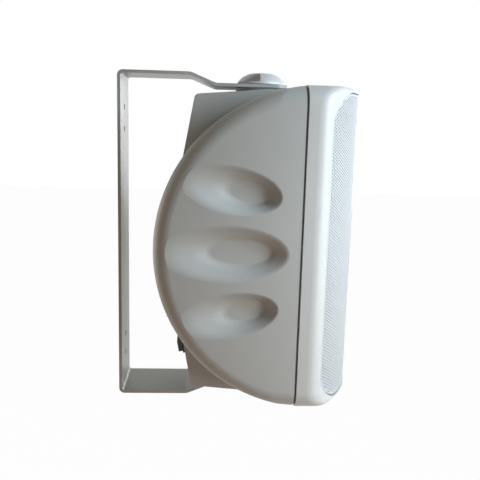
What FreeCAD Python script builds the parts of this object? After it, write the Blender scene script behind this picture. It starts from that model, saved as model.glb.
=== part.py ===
import FreeCAD, Part
import math
import os

Vector = FreeCAD.Vector

# A wall speaker that swivels between the two arms of a bent sheet-metal bracket.
# Frame: millimetres, +Z up, the wall is the plane y = 0, the front of the speaker looks along -Y.
# A "reach" is a distance from the wall, so the point at a reach r has y = -r.

# Fits and clearances
running_gap = 0.05
face_gap = 0.1
loose_gap = 0.3
seat_gap = 0.2

# Case
case_height = 250.0
case_width = 168.0
case_corner = 15.5
case_wall = 3.0
case_depth = 111.3
roof_fall = 12.5
cheek_radius = 125.7
cheek_thickness = 36.0
cheek_rim = 12.5
cheek_inner_rim = 4.0
spine_overlap = 3.0
spine_depth = 81.5
spine_corner = 4.0
spine_slope_deg = 10.35
spine_slope_start = 76.0
pivot_setback = 27.4

# Dishes pressed into each cheek: length and width at the rim, then of the flat floor
dish_depth = 9.0
dish_rim_share = 0.3
dish_even_share = 0.15
middle_dish_length = 97.0
middle_dish_width = 44.0
middle_floor_length = 46.0
middle_floor_width = 18.0
middle_floor_shift = 12.5
middle_dish_setback = 56.7
side_dish_length = 76.0
side_dish_width = 36.0
side_floor_length = 31.0
side_floor_width = 15.0
side_floor_shift = 14.5
side_dish_setback = 52.5
side_dish_rise = 48.0
side_dish_tilt_deg = 10.0

# Front frame and grille
seal_thickness = 1.6
seal_inset = 1.2
frame_step = 0.6
frame_edge = 5.0
frame_wall = 3.0
bow_radius = 113.0
side_blend = 17.0
flank_length = 7.9
panel_setback = 7.4
panel_thickness = 4.0
side_border = 3.8
end_border = 3.6
opening_corner = 25.8
ledge_width = 2.0
grille_gap = 0.8
grille_recess = 0.8
grille_sheet = 0.8
grille_flange = 3.5
grille_border = 12.0
grille_bar = 6.0
grille_openings_across = 9
grille_openings_up = 13

# Bracket
sheet = 2.5
bracket_width = 50.0
bend_radius = 2.0
joggle_bend = 9.0
joggle_start = 58.0
joggle_length = 20.5
joggle_drop = 8.2
arm_gap = 0.8
arm_overhang = 20.5
arm_corner = 10.0
swing_gap = 0.8
outer_hole_spacing = 216.0
inner_hole_spacing = 180.0
wall_hole_radius = 2.5

# Pivots and knobs
stud_radius = 3.0
stud_length = 22.0
insert_radius = 4.5
insert_length = 9.0
boss_wall = 4.5
washer_radius = 21.0
washer_thickness = 1.8
knob_washer_radius = 9.0
knob_washer_thickness = 0.8
index_notches = 60
index_depth = 1.5
index_width = 1.4
index_length = 4.5
knob_radius = 19.8
knob_height = 9.2
knob_base = 1.8
knob_crown_radius = 7.5
knob_bulge = 0.62
knob_grip_width = 9.0
knob_grip_setback = 2.0

# Woofer
woofer_drop = 36.0
woofer_radius = 65.0
woofer_flange = 3.0
woofer_flange_width = 10.0
basket_sheet = 1.2
basket_depth = 40.0
basket_rear_radius = 36.8
basket_windows = 4
basket_window_width = 30.0
basket_window_length = 22.0
basket_window_lift = 10.0
coil_radius = 12.2
coil_wall = 0.7
coil_length = 26.0
magnetic_gap = 0.7
top_plate_thickness = 5.0
top_plate_radius = 29.0
magnet_radius = 32.0
magnet_thickness = 14.0
yoke_thickness = 5.0
surround_roll = 4.7
surround_sheet = 0.7
cone_sheet = 0.8
cone_depth = 24.0
dust_cap_radius = 14.0
dust_cap_height = 5.0
spider_sheet = 0.6
spider_lift = 8.0
spider_folds = 8
screw_circle_inset = 4.5
driver_hole_gap = 2.0

# Tweeter
tweeter_rise = 66.0
tweeter_radius = 34.0
tweeter_face_thickness = 3.0
dome_radius = 12.7
dome_height = 4.5
dome_sheet = 0.4
dome_edge = 1.4
dome_setback = 1.5
tweeter_coil_length = 7.0
tweeter_motor_radius = 24.0
tweeter_plate_thickness = 4.0
tweeter_magnet_thickness = 8.0
tweeter_yoke_thickness = 4.0

# Reflex ports
port_inset_x = 28.8
port_inset_z = 32.0
port_radius = 12.0
port_wall = 2.0
port_length = 45.0
port_flange = 2.5

# Crossover board
board_width = 80.0
board_height = 60.0
board_thickness = 1.6
board_rise = 20.0
board_standoff = 8.0
board_screw_inset = 5.0
choke_radius = 12.0
choke_bore = 6.0
choke_height = 12.0
capacitor_radius = 6.0
capacitor_length = 26.0
resistor_length = 22.0
resistor_side = 6.0
choke_x = -20.0
choke_rise = 5.0
capacitor_x = 18.0
capacitor_rise = 4.0
resistor_x = 18.0
resistor_drop = 12.0

# Terminal
terminal_drop = 92.0
terminal_width = 54.0
terminal_height = 30.0
terminal_plate = 2.0
terminal_body_depth = 12.0
terminal_lip = 4.0
lever_width = 14.5
lever_height = 14.4
lever_proud = 8.5
lever_spacing = 23.0
lever_pin_radius = 1.5
lever_pin_inset = 2.6
lever_ear = 2.0
wire_hole_radius = 1.6
wire_hole_drop = 11.5
wire_hole_depth = 8.0
contact_sheet = 0.8
contact_width = 5.0
contact_tail = 6.0

# Fasteners and leads
screw_radius = 1.5
screw_head_radius = 3.4
screw_head_height = 2.2
screw_length = 12.0
frame_screw_length = 26.0
board_screw_length = 8.0
terminal_screw_length = 6.0
pilot_spare = 0.5
recess_width = 0.9
recess_depth = 1.2
screw_post_radius = 4.5
frame_screw_inset_x = 14.8
frame_screw_inset_z = 14.0
lead_radius = 0.9
lead_bend = 3.6
lead_run = 14.0
woofer_lead_x = 4.0
woofer_lead_drop = 14.0
tweeter_lead_x = 10.0
tweeter_lead_rise = 22.0
terminal_lead_x = 15.0
terminal_lead_drop = 25.0
terminal_lead_climb = 40.0

# Places worked out from the sizes above
half_height = case_height / 2
half_width = case_width / 2
pivot_to_rear = case_depth - pivot_setback
rear_sweep = math.hypot(half_width - cheek_rim, pivot_to_rear - cheek_rim) + cheek_rim
pivot_reach = rear_sweep + sheet + swing_gap
parting = pivot_reach + pivot_setback
cheek_rear = parting - case_depth
cheek_centre = cheek_rear + cheek_radius
cheek_inner = half_width - cheek_thickness
spine_half_width = cheek_inner + spine_overlap
roof_slope = roof_fall / parting
slope_tangent = math.tan(math.radians(spine_slope_deg))

arm_inner_z = half_height + arm_gap
arm_outer_z = arm_inner_z + sheet
plate_half_height = arm_outer_z + joggle_drop
joggle_end = joggle_start + joggle_length
arm_end = pivot_reach + arm_overhang
seat_z = arm_inner_z - washer_thickness - face_gap
stud_hole_radius = stud_radius + loose_gap
knob_floor_z = arm_outer_z + knob_washer_thickness + face_gap
stud_high = knob_floor_z + knob_height / 2
stud_low = stud_high - stud_length
bore_floor = stud_low - pilot_spare
boss_low = bore_floor - boss_wall

frame_base = parting + seal_thickness
frame_half_width = half_width + frame_step
frame_half_height = half_height + frame_step
bow_run = math.sqrt((bow_radius - side_blend) ** 2 - (frame_half_width - side_blend) ** 2)
bow_centre = frame_base + flank_length - bow_run
crown = bow_centre + bow_radius
panel_rear = frame_base + panel_setback
panel_front = panel_rear + panel_thickness
opening_half_width = frame_half_width - side_border
opening_half_height = frame_half_height - end_border
sight_half_width = opening_half_width - ledge_width
sight_half_height = opening_half_height - ledge_width
port_offset = sight_half_width - port_inset_x
port_rise = sight_half_height - port_inset_z
grille_radius = bow_radius - grille_recess
ledge_radius = grille_radius - grille_flange - seat_gap
far_front = crown + frame_edge

woofer_z = -woofer_drop
woofer_front = panel_front + woofer_flange
tweeter_z = tweeter_rise
tweeter_front = panel_front + tweeter_face_thickness
basket_bore = woofer_radius - woofer_flange_width
basket_rear = panel_front - basket_depth
woofer_plate_rear = basket_rear - top_plate_thickness
woofer_magnet_rear = woofer_plate_rear - magnet_thickness
woofer_yoke_rear = woofer_magnet_rear - yoke_thickness
terminal_z = -terminal_drop


def at(x, reach, z):
    return Vector(x, -reach, z)


def mirrored_top(shape):
    return shape.mirror(Vector(0, 0, 0), Vector(0, 0, 1))


def mirrored_side(shape):
    return shape.mirror(Vector(0, 0, 0), Vector(1, 0, 0))


def block(x_low, x_high, reach_low, reach_high, z_low, z_high):
    corner = at(x_low, reach_high, z_low)
    return Part.makeBox(x_high - x_low, reach_high - reach_low, z_high - z_low, corner)


def rod_along_reach(x, z, radius, start, end):
    return Part.makeCylinder(radius, end - start, at(x, start, z), Vector(0, -1, 0))


def rod_upright(x, reach, radius, low, high):
    return Part.makeCylinder(radius, high - low, at(x, reach, low), Vector(0, 0, 1))


def tube_along_reach(x, z, radius, bore, start, end):
    return rod_along_reach(x, z, radius, start, end).cut(rod_along_reach(x, z, bore, start, end))


def arc_edge(start, middle, end):
    return Part.Arc(start, middle, end).toShape()


def line_edge(start, end):
    return Part.LineSegment(start, end).toShape()


def turned(points, x, z):
    """A ring turned about the reach axis through (x, z), from (radius, reach) corners."""
    corners = [at(x + radius, reach, z) for radius, reach in points]
    face = Part.Face(Part.makePolygon(corners + corners[:1]))
    return face.revolve(at(x, 0, z), Vector(0, 1, 0), 360)


def side_profile_prism(points, width):
    """A (reach, z) outline pulled to a width that is centred on the middle plane."""
    corners = [at(-width / 2, reach, z) for reach, z in points]
    return Part.Face(Part.makePolygon(corners + corners[:1])).extrude(Vector(width, 0, 0))


def rounded_outline(half_wide, half_tall, corner, reach):
    inner_x = half_wide - corner
    inner_z = half_tall - corner
    slant = corner * math.sqrt(0.5)
    edges = []
    for sign_x, sign_z in ((1, 1), (-1, 1), (-1, -1), (1, -1)):
        side = at(sign_x * half_wide, reach, sign_z * inner_z)
        bulge = at(sign_x * (inner_x + slant), reach, sign_z * (inner_z + slant))
        end = at(sign_x * inner_x, reach, sign_z * half_tall)
        first, last = (side, end) if sign_x * sign_z > 0 else (end, side)
        edges.append(arc_edge(first, bulge, last))
    loop = []
    for index, edge in enumerate(edges):
        following = edges[(index + 1) % len(edges)]
        loop.append(edge)
        loop.append(line_edge(edge.lastVertex().Point, following.firstVertex().Point))
    return Part.Wire(loop)


def rounded_prism(half_wide, half_tall, corner, start, end):
    outline = rounded_outline(half_wide, half_tall, corner, start)
    return Part.Face(outline).extrude(Vector(0, start - end, 0))


def bent_path(points, radii):
    """Straight runs joined by tangent arcs, one radius for each inner corner."""
    edges = []
    cursor = points[0]
    for before, corner, after, radius in zip(points, points[1:], points[2:], radii):
        run_in = (corner - before).normalize()
        run_out = (after - corner).normalize()
        half_turn = run_in.getAngle(run_out) / 2
        trim = radius * math.tan(half_turn)
        inward = (run_out - run_in).normalize()
        centre = corner + inward * (radius / math.cos(half_turn))
        start = corner - run_in * trim
        end = corner + run_out * trim
        edges.append(line_edge(cursor, start))
        edges.append(arc_edge(start, centre - inward * radius, end))
        cursor = end
    edges.append(line_edge(cursor, points[-1]))
    return Part.Wire(edges)


def lead(points):
    path = bent_path(points, [lead_bend] * (len(points) - 2))
    circle = Part.Circle(points[0], points[1] - points[0], lead_radius).toShape()
    return path.makePipeShell([Part.Wire(circle)], True, False)


def screw(x, z, seat, length):
    """A cross-recess screw whose head sits on the plane at the reach "seat"."""
    top = seat + screw_head_height
    body = rod_along_reach(x, z, screw_head_radius, seat, top)
    body = body.fuse(rod_along_reach(x, z, screw_radius, seat - length, seat))
    arm = screw_head_radius - recess_width
    floor = top - recess_depth
    across = block(x - arm, x + arm, floor, top, z - recess_width / 2, z + recess_width / 2)
    along = block(x - recess_width / 2, x + recess_width / 2, floor, top, z - arm, z + arm)
    return body.cut([across, along])


# Case
def roof_z(reach):
    return half_height - (parting - reach) * roof_slope


def case_envelope(inset):
    """The drafted outer form of the case, from the parting plane back to the wall."""
    front = rounded_outline(half_width - inset, half_height - inset, case_corner - inset, parting)
    back = rounded_outline(half_width - inset, roof_z(0) - inset, case_corner - inset, 0)
    return Part.makeLoft([front, back], True, True)


def cheek(inset, inner_face):
    """One round cheek with rolled rims, on the +X side."""
    outer = half_width - inset
    radius = cheek_radius - inset
    rim = cheek_rim - inset
    inner_rim = cheek_inner_rim
    slant = math.sqrt(0.5)

    def point(x, distance):
        return at(x, cheek_centre, distance)

    rim_middle = point(outer - rim + rim * slant, radius - rim + rim * slant)
    inner_middle = point(inner_face + inner_rim - inner_rim * slant, radius - inner_rim + inner_rim * slant)
    edges = [
        line_edge(point(inner_face, 0), point(outer, 0)),
        line_edge(point(outer, 0), point(outer, radius - rim)),
        arc_edge(point(outer, radius - rim), rim_middle, point(outer - rim, radius)),
        line_edge(point(outer - rim, radius), point(inner_face + inner_rim, radius)),
        arc_edge(point(inner_face + inner_rim, radius), inner_middle, point(inner_face, radius - inner_rim)),
        line_edge(point(inner_face, radius - inner_rim), point(inner_face, 0)),
    ]
    face = Part.Face(Part.Wire(edges))
    return face.revolve(at(0, cheek_centre, 0), Vector(1, 0, 0), 360)


def spine_point_z(z):
    """Reach of the sloped rear face of the spine at a height on its straight part."""
    corner_z = roof_z(parting - spine_depth)
    return parting - spine_depth - (corner_z - abs(z)) * slope_tangent


def spine_prism(inset, half_wide, front):
    corner_reach = parting - spine_depth
    corner_z = roof_z(corner_reach)
    start_reach = spine_point_z(spine_slope_start)
    slope = math.radians(spine_slope_deg)
    middle_reach = start_reach - spine_slope_start * (1 - math.cos(slope)) / math.sin(slope)
    top_front = at(-half_wide, front, roof_z(front))
    top_corner = at(-half_wide, corner_reach, corner_z)
    top_start = at(-half_wide, start_reach, spine_slope_start)
    low_start = at(-half_wide, start_reach, -spine_slope_start)
    low_corner = at(-half_wide, corner_reach, -corner_z)
    low_front = at(-half_wide, front, -roof_z(front))
    upper = bent_path([top_front, top_corner, top_start], [spine_corner])
    lower = bent_path([low_start, low_corner, low_front], [spine_corner])
    rear = arc_edge(top_start, at(-half_wide, middle_reach, 0), low_start)
    edges = upper.Edges + [rear] + lower.Edges + [line_edge(low_front, top_front)]
    outline = Part.Wire(edges)
    if inset > 0:
        outline = outline.makeOffset2D(-inset)
    return Part.Face(outline).extrude(Vector(2 * half_wide, 0, 0))


def dish_sink(step):
    """Depth of a dish at a step from its rim (0) to its floor (1): a rolled rim, then an even slope."""
    if step < dish_rim_share:
        rolled = step * abs(step) / (2 * dish_rim_share)
    else:
        rolled = step - dish_rim_share / 2
    rolled = rolled / (1 - dish_rim_share / 2)
    return dish_depth * (dish_even_share * step + (1 - dish_even_share) * rolled)


def dish(length, width, floor_length, floor_width, shift, place, tilt_deg, grow):
    """A scoop in the +X cheek: an oval rim drawn down to a smaller flat oval floor nearer the front."""
    sections = []
    for step in (-0.12, 0.0, 0.1, 0.2, 0.3, 0.5, 0.75, 1.0):
        depth = dish_sink(step)
        half_long = length / 2 + (floor_length - length) / 2 * step + grow
        half_wide = width / 2 + (floor_width - width) / 2 * step + grow
        centre = at(half_width - depth - grow, shift * step, 0)
        oval = Part.Ellipse(centre, half_long, half_wide)
        oval.Axis = Vector(1, 0, 0)
        oval.XAxis = Vector(0, -1, 0)
        sections.append(Part.Wire(oval.toShape()))
    scoop = Part.makeLoft(sections, True, False)
    scoop.rotate(Vector(0, 0, 0), Vector(1, 0, 0), tilt_deg)
    scoop.translate(place)
    return scoop


def dishes(grow):
    middle_place = at(0, parting - middle_dish_setback, 0)
    upper_place = at(0, parting - side_dish_setback, side_dish_rise)
    middle = dish(middle_dish_length, middle_dish_width, middle_floor_length, middle_floor_width,
                  middle_floor_shift, middle_place, 0, grow)
    upper = dish(side_dish_length, side_dish_width, side_floor_length, side_floor_width,
                 side_floor_shift, upper_place, side_dish_tilt_deg, grow)
    one_side = [middle, upper, mirrored_top(upper)]
    return one_side + [mirrored_side(scoop) for scoop in one_side]


def index_notch_cutter():
    """Shallow radial notches round the pivot seat, as one compound."""
    notches = []
    outer = washer_radius + loose_gap
    inner = washer_radius - index_length
    for count in range(index_notches):
        corners = [
            Vector(inner, -index_width / 2, seat_z),
            Vector(inner, index_width / 2, seat_z),
            Vector(inner, 0, seat_z - index_depth),
        ]
        wedge = Part.Face(Part.makePolygon(corners + corners[:1])).extrude(Vector(outer - inner, 0, 0))
        wedge.rotate(Vector(0, 0, 0), Vector(0, 0, 1), count * 360 / index_notches)
        wedge.translate(at(0, pivot_reach, 0))
        notches.append(wedge)
    return Part.makeCompound(notches)


def frame_screw_places():
    x = sight_half_width - frame_screw_inset_x
    z = sight_half_height - frame_screw_inset_z
    return [(x, z), (-x, z), (-x, -z), (x, -z)]


def board_screw_places():
    x = board_width / 2 - board_screw_inset
    z = board_height / 2 - board_screw_inset
    return [(side * x, board_rise + up * z) for side in (-1, 1) for up in (-1, 1)]


def rear_inner_reach():
    """Deepest reach of the inside of the spine, where the board's posts stand."""
    slope = math.radians(spine_slope_deg)
    start_reach = spine_point_z(spine_slope_start)
    middle = start_reach - spine_slope_start * (1 - math.cos(slope)) / math.sin(slope)
    return middle + case_wall


board_rear = rear_inner_reach() + board_standoff
board_front = board_rear + board_thickness


def case_outside():
    right = cheek(0, cheek_inner)
    outside = right.fuse([mirrored_side(right), spine_prism(0, spine_half_width, parting)])
    outside = outside.common(case_envelope(0))
    outside = outside.cut(Part.makeCompound(dishes(0)))
    seat_low = roof_z(pivot_reach - washer_radius) - case_wall
    seat = rod_upright(0, pivot_reach, washer_radius, seat_low, seat_z)
    return outside.fuse([seat, mirrored_top(seat)])


def case_inside():
    """The room inside the case, less the pivot bosses and the screw posts that stand in it."""
    right = cheek(case_wall, cheek_inner + case_wall)
    open_front = parting + 2 * case_wall
    room = spine_prism(case_wall, spine_half_width - case_wall, open_front)
    link_half = cheek_inner + case_wall + spine_overlap
    drum = Part.makeCylinder(cheek_radius - case_wall, 2 * link_half, at(-link_half, cheek_centre, 0),
                             Vector(1, 0, 0))
    link = spine_prism(case_wall, link_half, open_front).common(drum)
    inside = room.fuse([right, mirrored_side(right), link])
    inside = inside.common(case_envelope(case_wall))
    inside = inside.cut(Part.makeCompound(dishes(case_wall)))
    boss = rod_upright(0, pivot_reach, insert_radius + boss_wall, boss_low, seat_z - index_depth)
    solid = [boss, mirrored_top(boss)]
    for x, z in frame_screw_places():
        solid.append(rod_along_reach(x, z, screw_post_radius, 0, parting))
    for x, z in board_screw_places():
        solid.append(rod_along_reach(x, z, screw_post_radius, 0, board_rear))
    return inside.cut(solid)


def make_rear_case():
    case = case_outside().cut(case_inside())
    spot_face = rod_upright(0, pivot_reach, washer_radius + 2 * loose_gap, seat_z, half_height + case_wall)
    notches = index_notch_cutter()
    bore = rod_upright(0, pivot_reach, stud_hole_radius, bore_floor, seat_z)
    pocket = rod_upright(0, pivot_reach, insert_radius, seat_z - insert_length, seat_z)
    for cutter in (spot_face, notches, bore, pocket):
        case = case.cut([cutter, mirrored_top(cutter)])
    for x, z in frame_screw_places():
        tip = panel_front - frame_screw_length - pilot_spare
        case = case.cut(rod_along_reach(x, z, screw_radius + running_gap, tip, parting))
    for x, z in board_screw_places():
        tip = board_front - board_screw_length - pilot_spare
        case = case.cut(rod_along_reach(x, z, screw_radius + running_gap, tip, board_rear))
    return case.cut(terminal_cutout())


def make_seal():
    rings = []
    for inset in (seal_inset, case_wall):
        corner = case_corner - inset
        rings.append(rounded_prism(half_width - inset, half_height - inset, corner, parting, frame_base))
    return rings[0].cut(rings[1])


# Front frame and grille
def bow_section(z, half_wide, radius):
    """Plan outline of the front frame at one height: flanks, blends and the bowed front."""
    run = math.sqrt((radius - side_blend) ** 2 - (half_wide - side_blend) ** 2)
    blend_x = half_wide - side_blend
    blend_reach = bow_centre + run
    share = radius / (radius - side_blend)
    half_angle = math.atan2(run, blend_x) / 2
    bulge_x = blend_x + side_blend * math.cos(half_angle)
    bulge_reach = blend_reach + side_blend * math.sin(half_angle)
    tangent_x = blend_x * share
    tangent_reach = bow_centre + run * share
    right = [
        at(half_wide, frame_base, z),
        at(half_wide, blend_reach, z),
        at(bulge_x, bulge_reach, z),
        at(tangent_x, tangent_reach, z),
    ]
    left = [Vector(-point.x, point.y, point.z) for point in right]
    edges = [
        line_edge(left[0], right[0]),
        line_edge(right[0], right[1]),
        arc_edge(right[1], right[2], right[3]),
        arc_edge(right[3], at(0, bow_centre + radius, z), left[3]),
        arc_edge(left[3], left[2], left[1]),
        line_edge(left[1], left[0]),
    ]
    return Part.Wire(edges)


def frame_blank():
    """The solid form of the front frame before it is opened."""
    straight = frame_half_height - case_corner
    low_section = bow_section(-straight, frame_half_width, bow_radius)
    middle = Part.Face(low_section).extrude(Vector(0, 0, 2 * straight))
    sections = []
    for degrees in (0, 16, 32, 46, 58, 69, 79, 85, 90):
        angle = math.radians(degrees)
        z = straight + case_corner * math.sin(angle)
        half_wide = frame_half_width - case_corner * (1 - math.cos(angle))
        into_edge = max(0.0, z - (frame_half_height - frame_edge))
        edge_back = frame_edge - math.sqrt(frame_edge ** 2 - into_edge ** 2)
        sections.append(bow_section(z, half_wide, bow_radius - edge_back))
    upper = Part.makeLoft(sections, True, False)
    return middle.fuse([upper, mirrored_top(upper)])


def bow_cylinder(radius):
    return rod_upright(0, bow_centre, radius, -case_height, case_height)


def grille_prism(shrink):
    half_wide = opening_half_width - shrink
    half_tall = opening_half_height - shrink
    return rounded_prism(half_wide, half_tall, opening_corner - shrink, panel_front, far_front)


def make_front_frame():
    frame = frame_blank()
    wall = frame_wall
    rear_room = rounded_prism(frame_half_width - wall, frame_half_height - wall, case_corner - wall,
                              frame_base, panel_rear)
    sight = grille_prism(ledge_width)
    seat = grille_prism(0).cut(bow_cylinder(ledge_radius))
    frame = frame.cut([rear_room, sight, seat])
    for x, z in frame_screw_places():
        frame = frame.fuse(rod_along_reach(x, z, screw_post_radius, parting, panel_rear))
    holes = [
        rod_along_reach(0, woofer_z, basket_bore + driver_hole_gap, panel_rear, panel_front),
        rod_along_reach(0, tweeter_z, tweeter_motor_radius + driver_hole_gap, panel_rear, panel_front),
    ]
    for side in (-1, 1):
        port_hole = port_radius + port_wall
        holes.append(rod_along_reach(side * port_offset, port_rise, port_hole, panel_rear, panel_front))
    for x, z in frame_screw_places():
        holes.append(rod_along_reach(x, z, screw_radius + loose_gap, parting, panel_front))
    for x, z in woofer_screw_places() + tweeter_screw_places():
        holes.append(rod_along_reach(x, z, screw_radius + running_gap, panel_rear, panel_front))
    return frame.cut(holes)


def grille_openings():
    """A plain grid of openings through the bowed sheet, each square to the bow."""
    edge_angle = math.asin((opening_half_width - grille_gap) / grille_radius)
    span = 2 * (edge_angle * grille_radius - grille_border)
    rise = 2 * (opening_half_height - grille_gap - grille_border)
    pitch_across = (span + grille_bar) / grille_openings_across
    pitch_up = (rise + grille_bar) / grille_openings_up
    half_wide = (pitch_across - grille_bar) / 2
    half_tall = (pitch_up - grille_bar) / 2
    surface = bow_centre + grille_radius
    openings = []
    for across in range(grille_openings_across):
        turn = (across - (grille_openings_across - 1) / 2) * pitch_across / grille_radius
        for up in range(grille_openings_up):
            z = (up - (grille_openings_up - 1) / 2) * pitch_up
            opening = block(-half_wide, half_wide, surface - grille_flange, surface + grille_sheet,
                            z - half_tall, z + half_tall)
            opening.rotate(at(0, bow_centre, 0), Vector(0, 0, 1), math.degrees(turn))
            openings.append(opening)
    return Part.makeCompound(openings)


def make_grille():
    skin = grille_prism(grille_gap).common(bow_cylinder(grille_radius))
    skin = skin.cut(bow_cylinder(grille_radius - grille_flange))
    hollow = grille_prism(grille_gap + grille_sheet).common(bow_cylinder(grille_radius - grille_sheet))
    return skin.cut(hollow).cut(grille_openings())


# Bracket and pivots
def make_bracket():
    middle = sheet / 2
    plate_z = plate_half_height - middle
    arm_z = arm_outer_z - middle
    upper = [(arm_end, arm_z), (joggle_end, arm_z), (joggle_start, plate_z), (middle, plate_z)]
    lower = [(reach, -z) for reach, z in reversed(upper)]
    points = [at(0, reach, z) for reach, z in upper + lower]
    corner = bend_radius + middle
    path = bent_path(points, [joggle_bend, joggle_bend, corner, corner, joggle_bend, joggle_bend])
    half = bracket_width / 2
    corners = [
        at(-half, arm_end, arm_z - middle),
        at(half, arm_end, arm_z - middle),
        at(half, arm_end, arm_z + middle),
        at(-half, arm_end, arm_z + middle),
    ]
    section = Part.makePolygon(corners + corners[:1])
    strip = path.makePipeShell([section], True, False)
    strip = strip.common(arm_outline_prism())
    holes = [rod_upright(0, pivot_reach, stud_hole_radius, -plate_half_height, plate_half_height)]
    for spacing in (outer_hole_spacing, inner_hole_spacing):
        for side in (-1, 1):
            holes.append(rod_along_reach(0, side * spacing / 2, wall_hole_radius, 0, sheet))
    return strip.cut(holes)


def arm_outline_prism():
    """The plan of the bracket, with rounded corners at the ends of the arms."""
    half = bracket_width / 2
    low = -plate_half_height
    points = [
        at(-half, 0, low),
        at(-half, arm_end, low),
        at(half, arm_end, low),
        at(half, 0, low),
    ]
    front = bent_path(points, [arm_corner, arm_corner])
    outline = Part.Wire(front.Edges + [line_edge(points[-1], points[0])])
    return Part.Face(outline).extrude(Vector(0, 0, 2 * plate_half_height))


def make_friction_washer():
    disc = rod_upright(0, pivot_reach, washer_radius, arm_inner_z - washer_thickness, arm_inner_z)
    return disc.cut(rod_upright(0, pivot_reach, stud_hole_radius, 0, plate_half_height))


def make_knob_washer():
    disc = rod_upright(0, pivot_reach, knob_washer_radius, arm_outer_z, arm_outer_z + knob_washer_thickness)
    return disc.cut(rod_upright(0, pivot_reach, stud_hole_radius, 0, plate_half_height))


def make_insert():
    sleeve = rod_upright(0, pivot_reach, insert_radius, seat_z - insert_length, seat_z - index_depth)
    return sleeve.cut(rod_upright(0, pivot_reach, stud_radius + running_gap, 0, seat_z))


def make_stud():
    return rod_upright(0, pivot_reach, stud_radius, stud_low, stud_high)


def make_knob():
    """A low domed thumb knob with two opposite quarters cut away above its thin base."""
    top = knob_floor_z + knob_height
    step = knob_floor_z + knob_base
    shoulder = knob_crown_radius + (knob_radius - knob_crown_radius) * knob_bulge
    shoulder_z = step + (knob_height - knob_base) * knob_bulge

    def point(radius, z):
        return at(radius, pivot_reach, z)

    edges = [
        line_edge(point(0, knob_floor_z), point(knob_radius, knob_floor_z)),
        line_edge(point(knob_radius, knob_floor_z), point(knob_radius, step)),
        arc_edge(point(knob_radius, step), point(shoulder, shoulder_z), point(knob_crown_radius, top)),
        line_edge(point(knob_crown_radius, top), point(0, top)),
        line_edge(point(0, top), point(0, knob_floor_z)),
    ]
    dome = Part.Face(Part.Wire(edges)).revolve(at(0, pivot_reach, 0), Vector(0, 0, 1), 360)
    corner = Vector(-knob_grip_width / 2 - knob_radius, knob_grip_setback, step)
    for turn_deg in (0, 180):
        quarter = Part.makeBox(knob_radius, knob_radius, knob_height, corner)
        quarter.rotate(Vector(0, 0, 0), Vector(0, 0, 1), turn_deg)
        quarter.translate(at(0, pivot_reach, 0))
        dome = dome.cut(quarter)
    return dome.cut(make_stud())


# Woofer
def woofer_screw_places():
    circle = woofer_radius - screw_circle_inset
    places = []
    for count in range(4):
        angle = math.radians(45 + 90 * count)
        places.append((circle * math.cos(angle), woofer_z + circle * math.sin(angle)))
    return places


def make_woofer_basket():
    front = woofer_front
    rear_front = basket_rear + basket_sheet
    bore = coil_radius + coil_wall + magnetic_gap
    basket = turned([
        (woofer_radius, panel_front),
        (woofer_radius, front),
        (basket_bore, front),
        (basket_bore, panel_front + basket_sheet / 2),
        (basket_rear_radius - basket_sheet, rear_front),
        (bore, rear_front),
        (bore, basket_rear),
        (basket_rear_radius, basket_rear),
        (basket_bore + basket_sheet, panel_front),
    ], 0, woofer_z)
    low = basket_rear + basket_window_lift
    high = low + basket_window_length
    half = basket_window_width / 2
    for count in range(basket_windows):
        window = block(-half, half, low, high, 0, woofer_radius)
        window.rotate(Vector(0, 0, 0), Vector(0, 1, 0), 360 / basket_windows * count)
        window.translate(Vector(0, 0, woofer_z))
        basket = basket.cut(window)
    for x, z in woofer_screw_places():
        basket = basket.cut(rod_along_reach(x, z, screw_radius + loose_gap, panel_front, front))
    return basket


def make_woofer_motor():
    bore = coil_radius + coil_wall + magnetic_gap
    pole = coil_radius - magnetic_gap
    plate = tube_along_reach(0, woofer_z, top_plate_radius, bore, woofer_plate_rear, basket_rear)
    magnet_bore = bore + magnetic_gap
    magnet = tube_along_reach(0, woofer_z, magnet_radius, magnet_bore, woofer_magnet_rear, woofer_plate_rear)
    yoke = rod_along_reach(0, woofer_z, top_plate_radius, woofer_yoke_rear, woofer_magnet_rear)
    yoke = yoke.fuse(rod_along_reach(0, woofer_z, pole, woofer_magnet_rear, basket_rear))
    return plate, magnet, yoke


cone_edge_radius = basket_bore - 2 * surround_roll - 2 * loose_gap
cone_front = panel_front + basket_sheet
cone_root = cone_front - cone_depth
coil_outer = coil_radius + coil_wall


def make_woofer_surround():
    centre_radius = basket_bore - loose_gap - surround_roll
    outer = surround_roll
    inner = surround_roll - surround_sheet

    def point(distance, degrees):
        across = distance * math.cos(math.radians(degrees))
        along = distance * math.sin(math.radians(degrees))
        return at(centre_radius + across, cone_front + along, woofer_z)

    edges = [
        arc_edge(point(outer, 0), point(outer, 90), point(outer, 180)),
        line_edge(point(outer, 180), point(inner, 180)),
        arc_edge(point(inner, 180), point(inner, 90), point(inner, 0)),
        line_edge(point(inner, 0), point(outer, 0)),
    ]
    return Part.Face(Part.Wire(edges)).revolve(at(0, 0, woofer_z), Vector(0, 1, 0), 360)


def make_woofer_cone():
    return turned([
        (cone_edge_radius, cone_front),
        (cone_edge_radius, cone_front + cone_sheet),
        (coil_outer, cone_root + cone_sheet),
        (coil_outer, cone_root),
    ], 0, woofer_z)


def make_woofer_coil():
    return tube_along_reach(0, woofer_z, coil_outer, coil_radius, cone_root + cone_sheet - coil_length,
                            cone_root + cone_sheet)


def cap_shell(radius, height, thickness, base, x, z):
    """A shallow turned cap, bulging towards the front from its edge at the reach "base"."""
    ball = (radius ** 2 + height ** 2) / (2 * height)
    centre = base + height - ball
    outer = Part.makeSphere(ball, at(x, centre, z))
    inner = Part.makeSphere(ball - thickness, at(x, centre, z))
    keep = rod_along_reach(x, z, 2 * radius, base, base + 2 * height)
    return outer.cut(inner).common(keep)


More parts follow.
